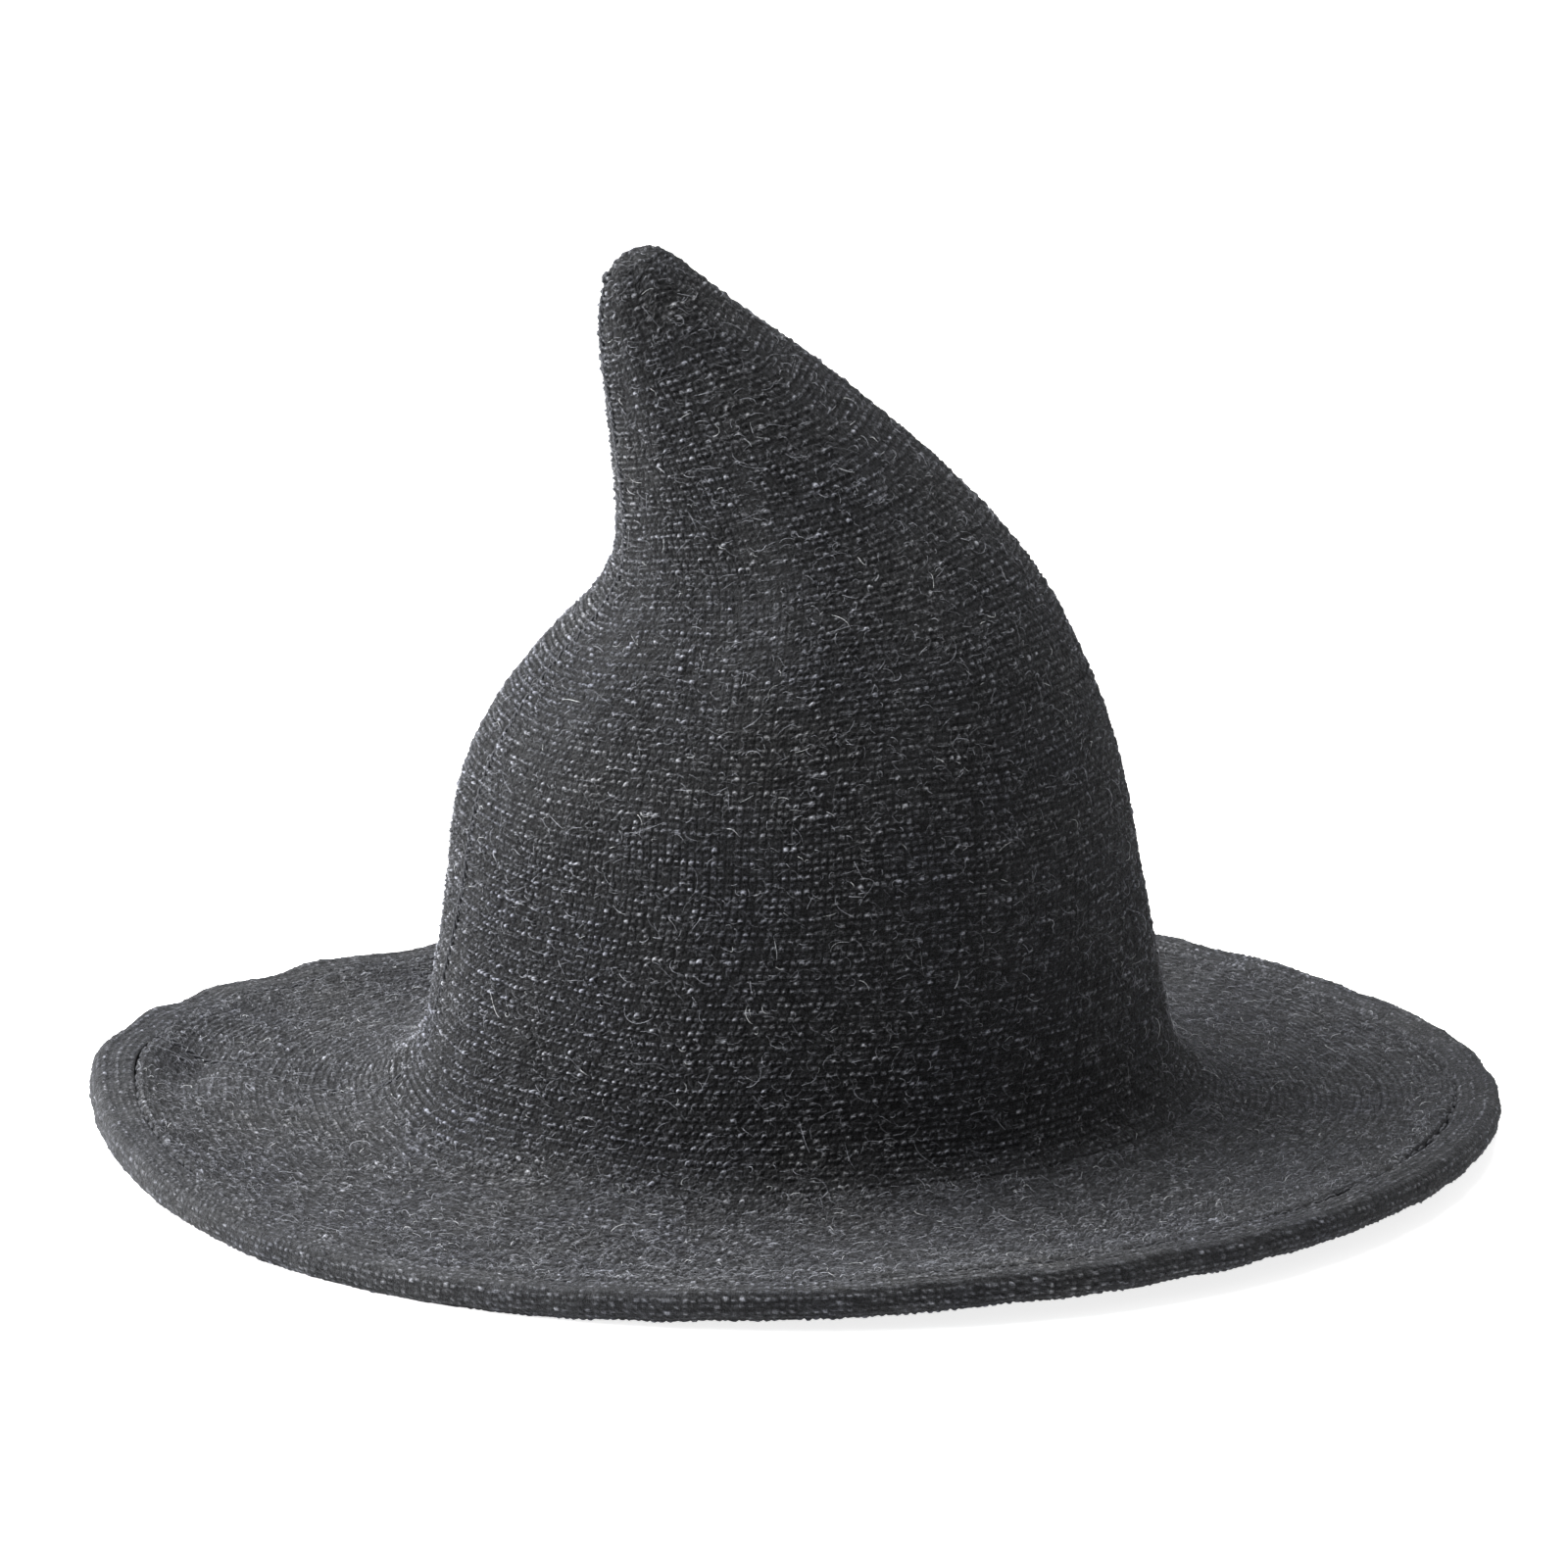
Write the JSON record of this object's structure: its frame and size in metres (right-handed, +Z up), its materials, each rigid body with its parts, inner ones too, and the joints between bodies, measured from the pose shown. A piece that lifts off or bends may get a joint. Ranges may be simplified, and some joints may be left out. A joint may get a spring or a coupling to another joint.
{
  "type": "witch hat",
  "caption": "Knitted wool witch hat: a deep crown that narrows to a soft pointed tip leaning to one side, and a wide round brim held out by a wire in its hem.",
  "frame": {"origin": "centre of the brim, on the surface that the brim's hem rests on", "axes": "+Z up through the crown, +X to the hat's right, away from the side that the tip leans to, +Y away from the viewer"},
  "size_m": [0.372, 0.3604, 0.2372],
  "materials": {
    "knit_wool": "charcoal grey wool, knitted, with a light halo of loose fibres",
    "felted_knit_wool": "charcoal grey wool, knitted and lightly felted",
    "spring_wire": "drawn steel",
    "thread": "matching wool yarn",
    "grosgrain": "ribbed black ribbon",
    "label_satin": "blank woven satin"
  },
  "bodies": {
    "hat": {"crown": "knit_wool", "crown_bend": "knit_wool", "brim": "felted_knit_wool", "hem": "felted_knit_wool", "brim_wire": "spring_wire", "wire_sleeve": "spring_wire", "hem_stitching": "thread", "brim_seam": "thread", "crown_seam": "thread", "sweatband": "grosgrain", "sweatband_stitching": "thread", "label": "label_satin"},
    "tip": {"crown_tip": "knit_wool", "tip_seam": "thread", "tip_closure": "knit_wool"}
  },
  "joints": [
    {"name": "tip_bend", "type": "hinge", "parent": "hat", "child": "tip", "pos_m": [-0.0013, 0, 0.1631], "axis": [0, 1, 0], "range_deg": [-30, 35], "deforming": ["crown_bend"]}
  ]
}
